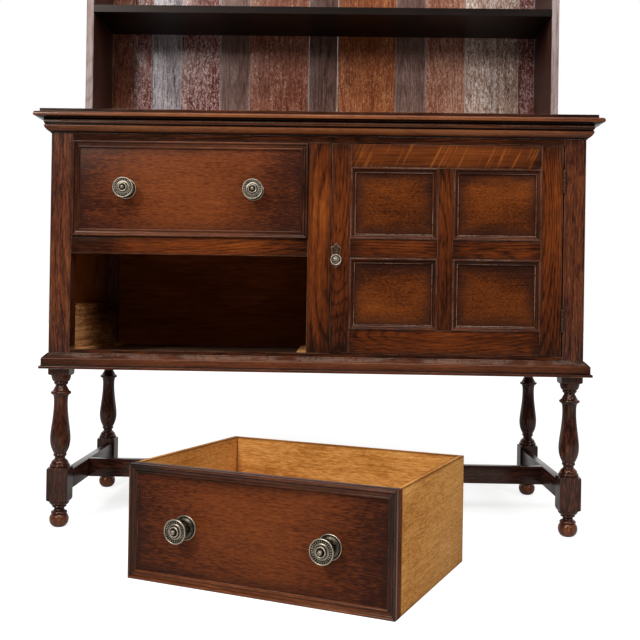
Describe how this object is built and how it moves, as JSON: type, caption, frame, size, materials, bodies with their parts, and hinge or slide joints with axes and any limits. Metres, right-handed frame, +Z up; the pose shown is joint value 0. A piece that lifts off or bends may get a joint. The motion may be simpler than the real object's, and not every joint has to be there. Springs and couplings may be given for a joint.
{
  "type": "kitchen dresser",
  "caption": "Oak dresser with a boarded plate rack, panelled cupboard door and drawers on turned legs with stretchers; the lower drawer stands on the floor in front.",
  "frame": {"origin": "on the floor under the middle of the whole object's box, the drawer on the floor included", "axes": "+Z up, the front faces -Y, +X to the right as seen from the front"},
  "size_m": [1.228, 1.0313, 1.8128],
  "materials": {
    "oak_stained": "dark red-brown stain under wax",
    "oak_raw": "unfinished oak, dry and smooth",
    "brass": "antique, grey-olive",
    "lock_steel": "dull"
  },
  "bodies": {
    "carcass": {"post_front_left": "oak_stained", "post_front_right": "oak_stained", "post_rear_left": "oak_stained", "post_rear_right": "oak_stained", "side_stretcher_left": "oak_stained", "side_stretcher_right": "oak_stained", "long_stretcher": "oak_stained", "bottom_rail": "oak_stained", "mid_rail": "oak_stained", "top_rail": "oak_stained", "centre_stile": "oak_stained", "side_panel_left": "oak_stained", "side_panel_right": "oak_stained", "base_moulding": "oak_stained", "top_moulding": "oak_stained", "floor_board": "oak_stained", "partition": "oak_stained", "carcass_back": "oak_stained", "top_board": "oak_stained", "rack_side_left": "oak_stained", "rack_side_right": "oak_stained", "rack_shelf_lower": "oak_stained", "rack_shelf_upper": "oak_stained", "rack_back": "oak_stained", "rack_top": "oak_stained", "cupboard_shelf": "oak_raw", "lower_runner_left": "oak_raw", "lower_runner_right": "oak_raw", "upper_runner_frame": "oak_raw", "hinge_upper_frame_leaf": "brass", "hinge_lower_frame_leaf": "brass"},
    "upper_drawer": {"upper_drawer_front": "oak_stained", "upper_drawer_side_left": "oak_raw", "upper_drawer_side_right": "oak_raw", "upper_drawer_back": "oak_raw", "upper_drawer_bottom": "oak_raw", "upper_drawer_knob_left": "brass", "upper_drawer_knob_right": "brass"},
    "lower_drawer": {"lower_drawer_front": "oak_stained", "lower_drawer_side_left": "oak_raw", "lower_drawer_side_right": "oak_raw", "lower_drawer_back": "oak_raw", "lower_drawer_bottom": "oak_raw", "lower_drawer_knob_left": "brass", "lower_drawer_knob_right": "brass"},
    "door": {"door_stile_left": "oak_stained", "door_stile_right": "oak_stained", "door_bottom_rail": "oak_stained", "door_top_rail": "oak_stained", "door_cross": "oak_stained", "door_panel_lower_left": "oak_stained", "door_panel_lower_right": "oak_stained", "door_panel_upper_left": "oak_stained", "door_panel_upper_right": "oak_stained", "escutcheon": "brass", "door_knob": "brass", "hinge_upper_door_leaf": "brass", "hinge_lower_door_leaf": "brass", "lock_case": "lock_steel"},
    "bolt": {"lock_bolt": "brass"}
  },
  "joints": [
    {"name": "upper_drawer_slide", "type": "slide", "parent": "carcass", "child": "upper_drawer", "axis": [0, -1, 0], "range_m": [0, 0.28]},
    {"name": "lower_drawer_lift", "type": "slide", "parent": "carcass", "child": "lower_drawer", "axis": [0, 0, 1], "range_m": [0, 0.12]},
    {"name": "door_hinge", "type": "hinge", "parent": "carcass", "child": "door", "pos_m": [0.5325, 0.02909, 0.619], "axis": [0, 0, 1], "range_deg": [0, 110]},
    {"name": "lock_bolt_slide", "type": "slide", "parent": "door", "child": "bolt", "axis": [-1, 0, 0], "range_m": [0, 0.008]}
  ]
}
